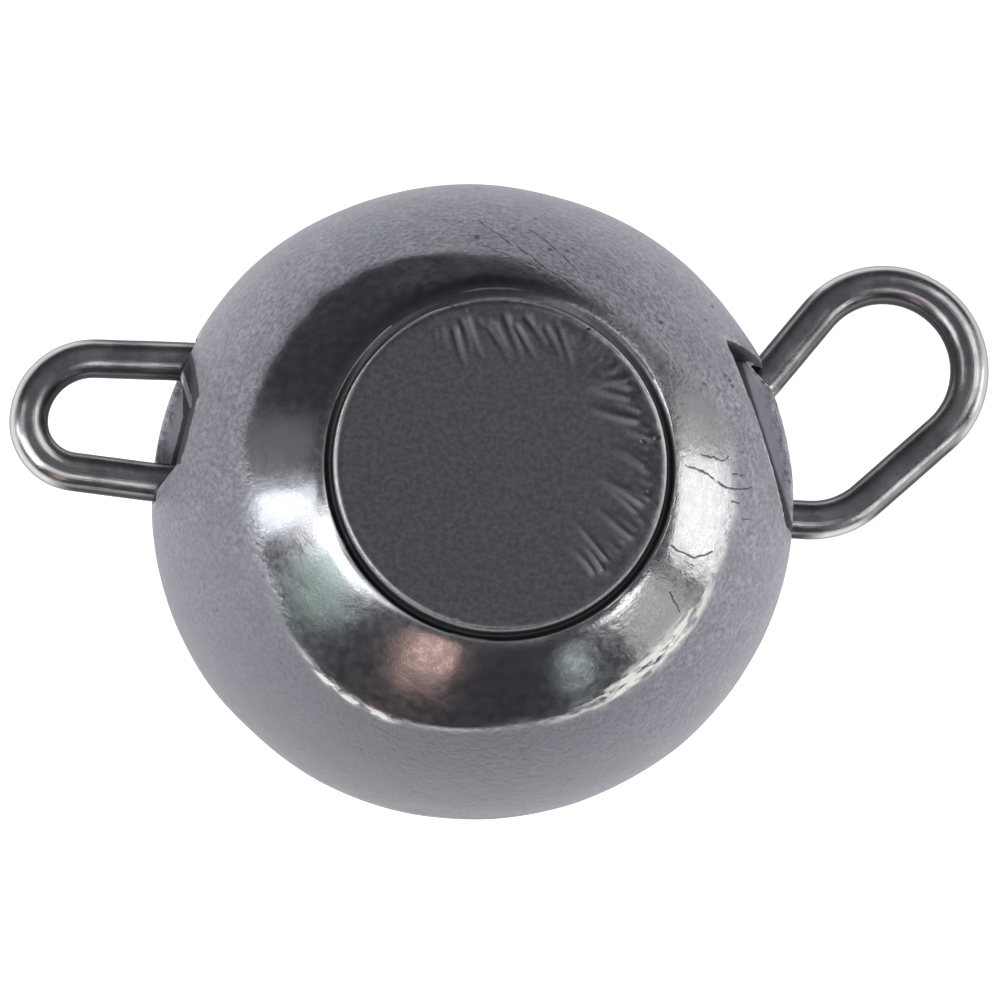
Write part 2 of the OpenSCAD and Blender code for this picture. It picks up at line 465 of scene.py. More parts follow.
# The tool's walls are divided finely at the mouths, so that the lips can be softened there
walls = bmesh.new()
walls.from_mesh(slot_tool.data)
cuts = [((x, 0, 0), (1, 0, 0)) for x in np.arange(-7.1, -4.2, 0.13)]
cuts += [((x, 0, 0), (1, 0, 0)) for x in np.arange(4.2, 7.1, 0.13)]
cuts += [((x, 0, 0), (1, 0, 0)) for x in np.arange(-4.0, 4.1, 0.8)]
cuts += [((0, y, 0), (0, 1, 0)) for y in np.arange(-0.34, 3.5, 0.15)]
cuts += [((0, 0, z), (0, 0, 1)) for z in np.arange(-0.375, 4.0, 0.125)]
for point, normal in cuts:
    parts = walls.verts[:] + walls.edges[:] + walls.faces[:]
    bmesh.ops.bisect_plane(walls, geom=parts, plane_co=point, plane_no=normal, dist=1e-5)
bmesh.ops.remove_doubles(walls, verts=walls.verts[:], dist=0.002)
walls.to_mesh(slot_tool.data)
walls.free()
boolean(ball, slot_tool, "DIFFERENCE")

# Soft metal has no sharp lips: the edges of the slot are eased over about a tenth of a millimetre
merge_within = 0.012
eased_within = 0.11
sharp_deg = 32
rounds = 3
eased = bmesh.new()
eased.from_mesh(ball.data)
bmesh.ops.remove_doubles(eased, verts=eased.verts[:], dist=merge_within)
# Slivers that the merge folds flat stand off the skin as faces with an open edge
fins = [f for f in eased.faces if any(len(edge.link_faces) == 1 for edge in f.edges)]
bmesh.ops.delete(eased, geom=fins, context="FACES")
bmesh.ops.triangulate(eased, faces=[f for f in eased.faces if len(f.verts) > 4])
sharp = set()
for edge in eased.edges:
    if len(edge.link_faces) != 2 or edge.calc_face_angle() < math.radians(sharp_deg):
        continue
    middle = (edge.verts[0].co + edge.verts[1].co) / 2
    if abs(middle.z) < 4.6:
        sharp.update(edge.verts)
lip_tree = kdtree.KDTree(len(sharp))
for n, v in enumerate(sorted(sharp, key=lambda v: v.index)):
    lip_tree.insert(v.co, n)
lip_tree.balance()
near = [v for v in eased.verts if lip_tree.find(v.co)[2] < eased_within]
for _ in range(rounds):
    bmesh.ops.smooth_vert(
        eased, verts=near, factor=0.5, use_axis_x=True, use_axis_y=True, use_axis_z=True
    )
open_edges = sum(1 for edge in eased.edges if len(edge.link_faces) != 2)
print("ball: open edges", open_edges, "faces", len(eased.faces), "lip verts", len(sharp))
eased.to_mesh(ball.data)
eased.free()

# Masks for the finish, by place: 1 where the name says, 0 elsewhere
count = len(ball.data.vertices)
spots = np.zeros(count * 3)
ball.data.vertices.foreach_get("co", spots)
spots = spots.reshape(-1, 3)
spot_r = np.hypot(spots[:, 0], spots[:, 1])
spot_turn = np.arctan2(spots[:, 1], spots[:, 0])
spot_height = np.abs(spots[:, 2])
spot_polar = np.arctan2(spot_r, spot_height)
spot_reach = np.linalg.norm(spots, axis=1)
spot_upper = spots[:, 2] > 0


def by_half(above, below):
    """The first for places on the upper half of the ball, the second for those on the lower."""
    return np.where(spot_upper, above, below)


def rise(value, start, span):
    """0 up to start, then evenly up to 1 over span; from 1 down to 0 for a negative span."""
    return np.clip((value - start) / span, 0, 1)


spot_crease = by_half(crease_polar(spot_turn, 1), crease_polar(spot_turn, -1))
spot_burr = by_half(burred(spot_turn, 1), burred(spot_turn, -1))
spot_wide = by_half(groove_width(spot_turn, 1), groove_width(spot_turn, -1))
past_rim = (spot_r - flat_r) / spot_wide
on_skin = rise(spot_reach, ball_r - 0.35, 0.1)
# The burnish ends raggedly, and softly where the press bit least
ragged_edge = np.array([noise.noise(Vector(spot) * 1.3) for spot in spots])
ragged_by = math.radians(1.3) * (ragged_edge + 0.3) * (1 - spot_burr)
past_crease = spot_polar - spot_crease + ragged_by
soft_side = by_half(hump(spot_turn, 48, 40), 0.5)
soft_side = np.maximum(soft_side, 0.75 * hump(spot_turn, 196, 30) * spot_upper)
edge_width = np.radians(0.55 + 1.3 * soft_side - 0.15 * spot_burr)
shoulder_mask = 1 / (1 + np.exp(np.clip(past_crease / edge_width * 1.6, -30, 30)))
shoulder_mask *= rise(past_rim, -0.01, 0.02)
shoulder_mask *= 1 - 0.4 * hump(spot_turn, 48, 26) * spot_upper
burr_wide = np.radians(0.75 + hump(spot_turn, 316, 24))
burr_shift = np.radians(hump(spot_turn, 316, 24))
burr_mask = np.exp(-(((spot_polar - spot_crease + burr_shift) / burr_wide) ** 2)) * spot_burr
flat_mask = rise(spot_r, flat_r, -0.06) * (spot_height > 5.6)
# Painted shade: the groove round each flat is painted nearly black, less so at the back where it
# is shallow
groove_shade_mask = rise(past_rim, -0.01, 0.02) * rise(past_rim, 0.215, -0.06)
groove_shade_mask *= spot_height > 5.2
groove_shade_mask *= 1 - 0.85 * hump(spot_turn, 108, 50) * spot_upper
# Painted highlight: the rim is painted nearly white where lamps would glint on it, most at the
# right and the left
rim_glint_side = by_half(hump(spot_turn, 32, 27) + 0.8 * hump(spot_turn, 168, 24), 0.5) + 0.12
rim_highlight_mask = np.exp(-(((spot_r - 3.468) / 0.028) ** 2)) * (spot_height > 5.7) * rim_glint_side
# Painted shade: a dark band is painted along the shoulder at the back, for the dark that the
# burnished shoulder reflects there
painted_band_mask = np.exp(-(((spot_r - 3.96) / 0.2) ** 2)) * hump(spot_turn, 95, 42) * spot_upper
from_edge = np.array([lip_tree.find(Vector(spot))[2] for spot in spots])
lip_mask = np.exp(-((from_edge / 0.075) ** 2))
# In the slot, the walls and the inside are darkened as painted shade, and the ledge of the shelf
# is dull
normals = np.zeros(count * 3)
ball.data.vertices.foreach_get("normal", normals)
facing_up = np.abs(normals.reshape(-1, 3)[:, 2])
in_slot = spot_height < 4
under_skin = rise(spot_reach, ball_r - 0.14, -0.1) * in_slot
shaded_wall_mask = under_skin * rise(facing_up, 0.75, -0.3)


def plan_distance(x, y, ends):
    """Distance of places from a line between two points of the plan, in mm."""
    run_x = ends[1][0] - ends[0][0]
    run_y = ends[1][1] - ends[0][1]
    share = ((x - ends[0][0]) * run_x + (y - ends[0][1]) * run_y) / (run_x**2 + run_y**2)
    share = np.clip(share, 0, 1)
    return np.hypot(x - ends[0][0] - share * run_x, y - ends[0][1] - share * run_y)


from_lip = np.minimum(
    plan_distance(spots[:, 0], spots[:, 1], (lip_corner, lip_middle)),
    plan_distance(spots[:, 0], spots[:, 1], (lip_middle, lip_top)),
)
line_wall = (from_lip < 0.07) & (spots[:, 2] > 0.55) & (spot_reach < ball_r - 0.05)
shaded_wall_mask = np.maximum(shaded_wall_mask, line_wall)
ledge_mask = under_skin * rise(facing_up, 0.75, 0.2)
depth_mask = rise(spot_reach, ball_r - 1.0, -0.6) * in_slot
inside_mask = np.maximum(depth_mask, 0.8 * shaded_wall_mask)
pitted_mask = np.clip(hump(spot_turn, 48, 42) + 0.35, 0, 1) * spot_upper
peel_mask = by_half(hump(spot_turn, -18, 46), 0.5 * hump(spot_turn, 60, 60))
peel_mask = peel_mask + 0.8 * hump(spot_turn, -42, 17) * spot_upper
flow_above = flow_lines(spots[:, 0], spots[:, 1], 1)
flow_rise = by_half(flow_above, flow_lines(spots[:, 0], spots[:, 1], -1))
# Painted light on the flow lines: their ridges are painted light and the hollows beside them dark
flow_highlight_mask = np.clip(flow_rise / 0.012, 0, 1) * flat_mask
hollow_shade_mask = np.clip(-flow_rise / 0.0045, 0, 1) * flat_mask
feather_mask = by_half(hump(spot_turn, 35, 68), hump(spot_turn, 205, 50))
feather_mask = feather_mask * flat_mask * rise(spot_r, 2.2, 1.0)
masks = {
    "shoulder": shoulder_mask * on_skin,
    "burr": burr_mask * on_skin,
    "flat": flat_mask,
    "groove": groove_shade_mask,
    "lip": lip_mask,
    "inside": inside_mask,
    "ledge": ledge_mask * (1 - depth_mask),
    "rim": rim_highlight_mask,
    "painted_dark_band": painted_band_mask,
    "painted_shade_side": hump(spot_turn, 255, 72) * on_skin,
    "pitted": pitted_mask * on_skin,
    "peel": peel_mask * on_skin,
    "flow": flow_highlight_mask,
    "hollow_painted_shade": hollow_shade_mask,
    "feather": feather_mask,
}
for name, values in masks.items():
    layer = ball.data.attributes.new(name, "FLOAT", "POINT")
    layer.data.foreach_set("value", np.asarray(values, np.float32))

shift = Matrix.Translation((0, 0, centre_z)) @ Matrix.Scale(MM, 4)
ball.data.transform(shift)
ball.data.shade_smooth()
ball.data.set_sharp_from_angle(angle=math.radians(55))
ball.data.name = "cast_lead_ball"


def node(tree, kind, at, **settings):
    """A shader node of a kind, with its settings, at a place in the tree."""
    made = tree.nodes.new(kind)
    made.location = (at[0] * 200, at[1] * 160)
    for name, value in settings.items():
        setattr(made, name, value)
    return made


def math_node(tree, operation, at, a, b=None, clamp=False):
    """A Math node fed by sockets or plain numbers."""
    made = node(tree, "ShaderNodeMath", at, operation=operation, use_clamp=clamp)
    for socket, value in zip(made.inputs, (a, b)):
        if isinstance(value, bpy.types.NodeSocket):
            tree.links.new(value, socket)
        elif value is not None:
            socket.default_value = value
    return made.outputs["Value"]


def mix_colour(tree, at, share, a, b, blend="MIX"):
    """A colour mix whose share, a and b are sockets or plain values."""
    made = node(tree, "ShaderNodeMix", at, data_type="RGBA", blend_type=blend)
    for socket, value in ((made.inputs[0], share), (made.inputs[6], a), (made.inputs[7], b)):
        if isinstance(value, bpy.types.NodeSocket):
            tree.links.new(value, socket)
        elif isinstance(value, (int, float)):
            socket.default_value = value
        else:
            socket.default_value = (*value, 1)
    return made.outputs[2]


def ramp(tree, at, value, low, high, out_low=0.0, out_high=1.0):
    """Maps low..high smoothly to out_low..out_high."""
    made = node(tree, "ShaderNodeMapRange", at, interpolation_type="SMOOTHSTEP")
    tree.links.new(value, made.inputs["Value"])
    made.inputs["From Min"].default_value = low
    made.inputs["From Max"].default_value = high
    made.inputs["To Min"].default_value = out_low
    made.inputs["To Max"].default_value = out_high
    return made.outputs["Result"]


def speckle(tree, at, vector, scale, detail, roughness=0.55):
    """Noise over the surface: scale in spots per millimetre."""
    made = node(tree, "ShaderNodeTexNoise", at)
    tree.links.new(vector, made.inputs["Vector"])
    made.inputs["Scale"].default_value = scale
    made.inputs["Detail"].default_value = detail
    made.inputs["Roughness"].default_value = roughness
    return made.outputs["Fac"]


# Metal grain: fine pits and slower mottling, from a place in millimetres. Lead and wire share it
grain = bpy.data.node_groups.new("metal_grain", "ShaderNodeTree")
grain.interface.new_socket("Place", in_out="INPUT", socket_type="NodeSocketVector")
fine_in = grain.interface.new_socket("Fine", in_out="INPUT", socket_type="NodeSocketFloat")
slow_in = grain.interface.new_socket("Slow", in_out="INPUT", socket_type="NodeSocketFloat")
grain.interface.new_socket("Grain", in_out="OUTPUT", socket_type="NodeSocketFloat")
grain.interface.new_socket("Mottle", in_out="OUTPUT", socket_type="NodeSocketFloat")
fine_in.default_value = 9.0
slow_in.default_value = 1.4
grain_in = node(grain, "NodeGroupInput", (-4, 0))
grain_out = node(grain, "NodeGroupOutput", (4, 0))
fine_noise = node(grain, "ShaderNodeTexNoise", (-1, 1))
fine_noise.inputs["Detail"].default_value = 3.0
fine_noise.inputs["Roughness"].default_value = 0.62
slow_noise = node(grain, "ShaderNodeTexNoise", (-1, -1))
slow_noise.inputs["Detail"].default_value = 4.0
slow_noise.inputs["Roughness"].default_value = 0.6
for texture, size in ((fine_noise, "Fine"), (slow_noise, "Slow")):
    grain.links.new(grain_in.outputs["Place"], texture.inputs["Vector"])
    grain.links.new(grain_in.outputs[size], texture.inputs["Scale"])
fine_grain = ramp(grain, (1, 1), fine_noise.outputs["Fac"], 0.28, 0.72)
grain.links.new(fine_grain, grain_out.inputs["Grain"])
slow_mottle = ramp(grain, (1, -1), slow_noise.outputs["Fac"], 0.3, 0.7)
grain.links.new(slow_mottle, grain_out.inputs["Mottle"])

# Rubbed bright: a mask broken up by noise, as hands and other tackle wear metal. Shared too: on
# the burr it breaks up a painted highlight, and on the lips it is wear and painted highlight
# together
wear_glint_group = bpy.data.node_groups.new("wear_and_glint_patches", "ShaderNodeTree")
wear_glint_group.interface.new_socket("Place", in_out="INPUT", socket_type="NodeSocketVector")
wear_glint_group.interface.new_socket("Mask", in_out="INPUT", socket_type="NodeSocketFloat")
patch_in = wear_glint_group.interface.new_socket("Patches", in_out="INPUT", socket_type="NodeSocketFloat")
wear_glint_group.interface.new_socket("Wear", in_out="OUTPUT", socket_type="NodeSocketFloat")
patch_in.default_value = 3.0
rubbed_in = node(wear_glint_group, "NodeGroupInput", (-4, 0))
rubbed_out = node(wear_glint_group, "NodeGroupOutput", (4, 0))
patch_noise = node(wear_glint_group, "ShaderNodeTexNoise", (-2, -1))
patch_noise.inputs["Detail"].default_value = 4.0
wear_glint_group.links.new(rubbed_in.outputs["Place"], patch_noise.inputs["Vector"])
wear_glint_group.links.new(rubbed_in.outputs["Patches"], patch_noise.inputs["Scale"])
broken = ramp(wear_glint_group, (0, -1), patch_noise.outputs["Fac"], 0.38, 0.62)
worn = math_node(wear_glint_group, "MULTIPLY", (2, 0), rubbed_in.outputs["Mask"], broken, clamp=True)
wear_glint_group.links.new(worn, rubbed_out.inputs["Wear"])

# Cast lead: dull lilac grey with grain on the round side, burnished on the shoulder
lead = bpy.data.materials.new("cast_lead")
lead.use_nodes = True
tree = lead.node_tree
tree.nodes.clear()
shader = node(tree, "ShaderNodeBsdfPrincipled", (8, 0))
surface_out = node(tree, "ShaderNodeOutputMaterial", (10, 0))
tree.links.new(shader.outputs["BSDF"], surface_out.inputs["Surface"])
coords = node(tree, "ShaderNodeTexCoord", (-8, 0))
in_mm = node(tree, "ShaderNodeVectorMath", (-7, 0), operation="SCALE")
in_mm.inputs["Scale"].default_value = 1 / MM
tree.links.new(coords.outputs["Object"], in_mm.inputs[0])
where = in_mm.outputs["Vector"]
area = {}
for n, name in enumerate(masks):
    reader = node(tree, "ShaderNodeAttribute", (-7, -2 - n), attribute_name=name)
    area[name] = reader.outputs["Fac"]

skin = node(tree, "ShaderNodeGroup", (-5, 2), node_tree=grain)
skin.inputs["Fine"].default_value = 8.5
skin.inputs["Slow"].default_value = 1.7
tree.links.new(where, skin.inputs["Place"])
satin = node(tree, "ShaderNodeGroup", (-5, 3), node_tree=grain)
satin.inputs["Fine"].default_value = 19.0
satin.inputs["Slow"].default_value = 4.5
tree.links.new(where, satin.inputs["Place"])
burr_glint = node(tree, "ShaderNodeGroup", (-5, 0), node_tree=wear_glint_group)
burr_glint.inputs["Patches"].default_value = 4.0
tree.links.new(area["burr"], burr_glint.inputs["Mask"])
# The lips are rubbed light, which also stands as a painted highlight along their eased edges
lip_wear_and_highlight = node(tree, "ShaderNodeGroup", (-5, -1), node_tree=wear_glint_group)
lip_wear_and_highlight.inputs["Patches"].default_value = 2.2
tree.links.new(where, lip_wear_and_highlight.inputs["Place"])
tree.links.new(area["lip"], lip_wear_and_highlight.inputs["Mask"])

# One stretch of a line on the lead, from its start along its length, within a width to each side.
# Cracks and the bands at the mouths of the slot are made of such stretches
crack_kind = bpy.data.node_groups.new("crack_stretch", "ShaderNodeTree")
for name in ("Place", "Start", "Along", "Across", "Outward"):
    crack_kind.interface.new_socket(name, in_out="INPUT", socket_type="NodeSocketVector")
for name in ("Length", "Width"):
    crack_kind.interface.new_socket(name, in_out="INPUT", socket_type="NodeSocketFloat")
crack_kind.interface.new_socket("Line", in_out="OUTPUT", socket_type="NodeSocketFloat")
crack_in = node(crack_kind, "NodeGroupInput", (-4, 0))
crack_out = node(crack_kind, "NodeGroupOutput", (5, 0))
from_start = node(crack_kind, "ShaderNodeVectorMath", (-3, 0), operation="SUBTRACT")
crack_kind.links.new(crack_in.outputs["Place"], from_start.inputs[0])
crack_kind.links.new(crack_in.outputs["Start"], from_start.inputs[1])
measured = {}
for n, name in enumerate(("Along", "Across", "Outward")):
    dot = node(crack_kind, "ShaderNodeVectorMath", (-2, 1 - n), operation="DOT_PRODUCT")
    crack_kind.links.new(from_start.outputs["Vector"], dot.inputs[0])
    crack_kind.links.new(crack_in.outputs[name], dot.inputs[1])
    measured[name] = dot.outputs["Value"]
kept = math_node(crack_kind, "MAXIMUM", (-1, 2), measured["Along"], 0.0)
kept = math_node(crack_kind, "MINIMUM", (0, 2), kept, crack_in.outputs["Length"])
past_end = math_node(crack_kind, "SUBTRACT", (1, 2), measured["Along"], kept)
past_end = math_node(crack_kind, "ABSOLUTE", (2, 2), past_end)
aside = math_node(crack_kind, "ABSOLUTE", (-1, 0), measured["Across"])
# Only near the start's depth: the plane comes out on the far side of the ball too
depth_kept = 1.5
far_side = math_node(crack_kind, "ABSOLUTE", (-1, -1), measured["Outward"])
far_side = math_node(crack_kind, "SUBTRACT", (0, -1), far_side, depth_kept)
off_line = math_node(crack_kind, "MAXIMUM", (2, 0), aside, past_end)
off_line = math_node(crack_kind, "MAXIMUM", (2, -1), off_line, far_side)
in_widths = math_node(crack_kind, "DIVIDE", (3, 0), off_line, crack_in.outputs["Width"])
on_line = ramp(crack_kind, (4, 0), in_widths, 0.2, 1.0, 0.85, 0.0)
crack_kind.links.new(on_line, crack_out.inputs["Line"])

# Cold folds and cracks: fine lines where the metal froze before it met, each from point to point
# in the plane through both and the ball's middle, and shaken a little out of the straight
wobble = node(tree, "ShaderNodeTexNoise", (-5, -4))
wobble.inputs["Scale"].default_value = 5.0
wobble.inputs["Detail"].default_value = 4.0
tree.links.new(where, wobble.inputs["Vector"])
shake = 0.16
wobbled = node(tree, "ShaderNodeVectorMath", (-4, -4), operation="MULTIPLY_ADD")
wobbled.inputs[1].default_value = (shake, shake, shake)
tree.links.new(wobble.outputs["Color"], wobbled.inputs[0])
tree.links.new(where, wobbled.inputs[2])
# Widths, and points on the ball in mm from its centre. The widest is a dark speck on the rim, and
# push makes up for the wobble's mean
cold_lines = [
    (0.028, [(-0.54, 5.43, 4.05), (-0.26, 5.18, 4.39), (0.09, 4.88, 4.74), (0.45, 4.62, 4.97)]),
    (0.032, [(0.45, 4.62, 4.97), (0.81, 4.33, 5.18), (1.18, 4.08, 5.31), (1.56, 3.81, 5.41)]),
    (0.028, [(0.56, 5.28, 4.24), (0.85, 5.01, 4.51), (1.15, 4.72, 4.76), (1.57, 4.23, 5.09)]),
    (0.024, [(-0.47, 4.77, 4.82), (-0.05, 4.58, 5.02), (0.32, 4.46, 5.11), (0.75, 4.23, 5.27)]),
    (0.027, [(3.9, 0.26, 5.47), (4.16, 0.22, 5.25), (4.39, 0.16, 5.07), (4.62, 0.03, 4.87)]),
    (0.026, [(4.62, 0.03, 4.87), (4.85, -0.07, 4.68), (5.15, -0.05, 4.43), (5.46, 0.09, 4.06)]),
    (0.024, [(4.23, 0.55, 5.18), (4.53, 0.53, 4.94), (4.75, 0.5, 4.75), (4.87, 0.62, 4.64)]),
    (0.022, [(4.99, 0.26, 4.57), (5.29, 0.3, 4.26)]),
    (0.026, [(3.67, -1.45, 5.45), (3.94, -1.54, 5.21), (4.2, -1.59, 4.99), (4.6, -1.43, 4.72)]),
    (0.024, [(3.68, -2.36, 5.09), (3.85, -2.56, 4.88), (3.97, -2.7, 4.72)]),
    (0.02, [(4.98, -0.32, 4.57), (5.16, -0.32, 4.41)]),
    (0.02, [(5.26, -0.61, 4.27), (5.46, -0.6, 4.01)]),
    (0.085, [(-0.6, 4.965, 4.61), (-0.59, 5.015, 4.56)]),
    (0.03, [(-3.0, -1.2, -5.6), (-3.9, -1.9, -5.0), (-4.5, -1.7, -4.5)]),
    (0.03, [(1.2, -4.1, -5.0), (2.2, -4.3, -4.6)]),
]
push = Vector((shake / 2, shake / 2, shake / 2 + centre_z / MM))
crack = None
for width, points in cold_lines:
    for start, end in zip(points, points[1:]):
        run_out = Vector(end) - Vector(start)
        across = Vector(start).cross(Vector(end)).normalized()
        stretch = node(tree, "ShaderNodeGroup", (-3, -4), node_tree=crack_kind)
        stretch.inputs["Start"].default_value = Vector(start) + push
        stretch.inputs["Along"].default_value = run_out.normalized()
        stretch.inputs["Across"].default_value = across
        stretch.inputs["Outward"].default_value = Vector(start).normalized()
        stretch.inputs["Length"].default_value = run_out.length
        stretch.inputs["Width"].default_value = width
        tree.links.new(wobbled.outputs["Vector"], stretch.inputs["Place"])
        line = stretch.outputs["Line"]
        crack = line if crack is None else math_node(tree, "MAXIMUM", (-2, -4), crack, line)
gaps = ramp(tree, (-2, -5), speckle(tree, (-3, -5), where, 3.2, 2.0), 0.28, 0.42)
crack = math_node(tree, "MULTIPLY", (-1, -4), crack, gaps, clamp=True)

# Bands along the mouths of the slot: painted shade at the foot of the near lips and on the slot's
# floor beside them, and painted highlights along edges that would catch the light. Each has its
# strength, half width, how flat it is in height, and its ends
shade_bands = [
    (0.85, 0.27, 7.5, (6.57, -0.24, 0.85), (5.356, 3.12, 0.85)),
    (1.0, 0.105, 1.0, (-6.485, 0.231, 1.9), (-6.215, 1.572, 1.9)),
    (1.0, 0.12, 1.0, (-6.215, 1.6, 1.9), (-6.31, 3.115, 1.9)),
    (0.9, 0.11, 7.5, (-6.45, -0.05, -0.5), (-6.126, 1.554, -0.5)),
    (0.9, 0.11, 7.5, (-6.126, 1.554, -0.5), (-6.2, 2.6, -0.5)),
]
highlight_bands = [
    (1.0, 0.07, 7.5, (5.54, 3.34, 0.85), (6.34, 2.6, 0.85)),
    (0.9, 0.042, 20.0, (5.9, 0.88, 3.34), (6.4, -0.262, 2.36)),
    (0.22, 0.055, 7.5, (-6.13, 1.573, 0.85), (-6.46, 2.513, 0.85)),
]
shake = 0.05
eased_place = node(tree, "ShaderNodeVectorMath", (-4, -12), operation="MULTIPLY_ADD")
eased_place.inputs[1].default_value = (shake, shake, shake)
tree.links.new(wobble.outputs["Color"], eased_place.inputs[0])
tree.links.new(where, eased_place.inputs[2])
push = Vector((shake / 2, shake / 2, shake / 2 + centre_z / MM))
bands = []
for n, kind in enumerate((shade_bands, highlight_bands)):
    together = None
    for strength, width, depth, start, end in kind:
        run_out = Vector(end) - Vector(start)
        stretch = node(tree, "ShaderNodeGroup", (-3, -12 - n), node_tree=crack_kind)
        stretch.inputs["Start"].default_value = Vector(start) + push
        along = run_out.normalized()
        upright = (Vector((0, 0, 1)) - along * along.z).normalized()
        stretch.inputs["Along"].default_value = along
        stretch.inputs["Across"].default_value = Vector((run_out.y, -run_out.x, 0)).normalized()
        stretch.inputs["Outward"].default_value = upright * depth
        stretch.inputs["Length"].default_value = run_out.length
        stretch.inputs["Width"].default_value = width
        tree.links.new(eased_place.outputs["Vector"], stretch.inputs["Place"])
        line = ramp(tree, (-2, -12 - n), stretch.outputs["Line"], 0.03, 0.4, 0.0, strength)
        if together is not None:
            line = math_node(tree, "MAXIMUM", (-1, -12 - n), together, line)
        together = line
    bands.append(together)
painted_lip_shade, painted_edge_highlight = bands

# Marks of the press, which run round the shoulder
from_axis = node(tree, "ShaderNodeVectorMath", (-7, -9), operation="MULTIPLY")
from_axis.inputs[1].default_value = (1, 1, 0)
tree.links.new(where, from_axis.inputs[0])
axis_distance = node(tree, "ShaderNodeVectorMath", (-6, -9), operation="LENGTH")
tree.links.new(from_axis.outputs["Vector"], axis_distance.inputs[0])
direction = node(tree, "ShaderNodeVectorMath", (-6, -10), operation="NORMALIZE")
tree.links.new(from_axis.outputs["Vector"], direction.inputs[0])
out_by = node(tree, "ShaderNodeCombineXYZ", (-5, -9))
finer = math_node(tree, "MULTIPLY", (-5, -8), axis_distance.outputs["Value"], 2.6)
tree.links.new(finer, out_by.inputs["Z"])
round_place = node(tree, "ShaderNodeVectorMath", (-4, -9), operation="MULTIPLY_ADD")
round_place.inputs[1].default_value = (3.0, 3.0, 0)
tree.links.new(direction.outputs["Vector"], round_place.inputs[0])
tree.links.new(out_by.outputs["Vector"], round_place.inputs[2])
press_marks = speckle(tree, (-3, -9), round_place.outputs["Vector"], 1.5, 2.0, 0.5)
tree.links.new(round_place.outputs["Vector"], burr_glint.inputs["Place"])

# Pits and short drag marks in the skin, most of them on one side
stretched = node(tree, "ShaderNodeVectorMath", (-6, -6), operation="MULTIPLY")
stretched.inputs[1].default_value = (2.6, 3.4, 2.0)
tree.links.new(where, stretched.inputs[0])
pit_cells = node(tree, "ShaderNodeTexVoronoi", (-5, -6))
pit_cells.inputs["Scale"].default_value = 0.8
tree.links.new(stretched.outputs["Vector"], pit_cells.inputs["Vector"])
pits = ramp(tree, (-4, -6), pit_cells.outputs["Distance"], 0.06, 0.2, 1.0, 0.0)
pit_groups = ramp(tree, (-4, -7), speckle(tree, (-5, -7), where, 1.5, 2.0), 0.46, 0.56)
pits = math_node(tree, "MULTIPLY", (-3, -6), pits, pit_groups)
pits = math_node(tree, "MULTIPLY", (-2, -6), pits, area["pitted"], clamp=True)
off_shoulder = math_node(tree, "MULTIPLY_ADD", (-2, -7), area["shoulder"], -0.9)
off_shoulder.node.inputs[2].default_value = 1.0
pits = math_node(tree, "MULTIPLY", (-1, -6), pits, off_shoulder, clamp=True)

# The round side: lilac grey, in grains of light and dark, with clouds and flecks, and darker on
# one side as painted shade
cast_dark = (0.185, 0.186, 0.226)
cast_light = (0.5, 0.5, 0.562)
dull = mix_colour(tree, (-3, 3), skin.outputs["Grain"], cast_dark, cast_light)
clouded = math_node(tree, "MULTIPLY", (-3, 4), skin.outputs["Mottle"], 0.5)
dull = mix_colour(tree, (-2, 3), clouded, dull, (0.26, 0.255, 0.29))
cast_hue = ramp(tree, (-3, 6), speckle(tree, (-4, 6), where, 0.9, 4.0, 0.62), 0.34, 0.66)
cast_hue = mix_colour(tree, (-2, 6), cast_hue, (0.955, 0.98, 1.0), (1.03, 1.005, 1.005))
dull = mix_colour(tree, (-1, 5), 1.0, dull, cast_hue, "MULTIPLY")
flecks = ramp(tree, (-3, 7), speckle(tree, (-4, 7), where, 4.6, 3.0, 0.6), 0.62, 0.72, 0.0, 0.55)
dull = mix_colour(tree, (-1, 6), flecks, dull, (0.14, 0.14, 0.165))
# Painted shade: the round side is darkened towards -Y, where less lamp light falls
painted_side_shade = math_node(tree, "MULTIPLY", (-2, 7), area["painted_shade_side"], 0.86)
dull = mix_colour(tree, (-1, 7), painted_side_shade, dull, (0.2, 0.195, 0.22))
# The shoulder: bare lead, streaked by the press, with a painted dark reflection as a band at the
# back
bare_dark = (0.27, 0.27, 0.29)
bare_light = (0.42, 0.42, 0.435)
bright = mix_colour(tree, (-3, 2), satin.outputs["Grain"], bare_dark, bare_light)
bright = mix_colour(tree, (-2, 2), satin.outputs["Mottle"], bright, (0.34, 0.34, 0.365))
streaked = ramp(tree, (-2, 1), press_marks, 0.3, 0.7, 0.0, 0.6)
bright = mix_colour(tree, (-1, 1), streaked, bright, (0.33, 0.33, 0.345))
bright = mix_colour(tree, (-1, 0), area["painted_dark_band"], bright, (0.16, 0.155, 0.17))
tone = mix_colour(tree, (-1, 3), area["shoulder"], dull, bright)
# The flat: dark from the press, darker still in feathers near its rim, with a painted highlight on
# each flow line and painted shade in the hollow beside it
pressed_dark = (0.15, 0.15, 0.162)
pressed_light = (0.225, 0.225, 0.236)
pressed = mix_colour(tree, (-1, 2), skin.outputs["Grain"], pressed_dark, pressed_light)
feather = ramp(tree, (-3, 5), speckle(tree, (-4, 5), where, 3.2, 4.0, 0.65), 0.4, 0.62)
feather = math_node(tree, "MULTIPLY", (-2, 5), feather, area["feather"], clamp=True)
pressed = mix_colour(tree, (0, 2), feather, pressed, (0.1, 0.1, 0.108))
pressed = mix_colour(tree, (1, 2), area["hollow_painted_shade"], pressed, (0.07, 0.07, 0.078))
pressed = mix_colour(tree, (0, 1), area["flow"], pressed, (0.5, 0.5, 0.51))
tone = mix_colour(tree, (0, 3), area["flat"], tone, pressed)
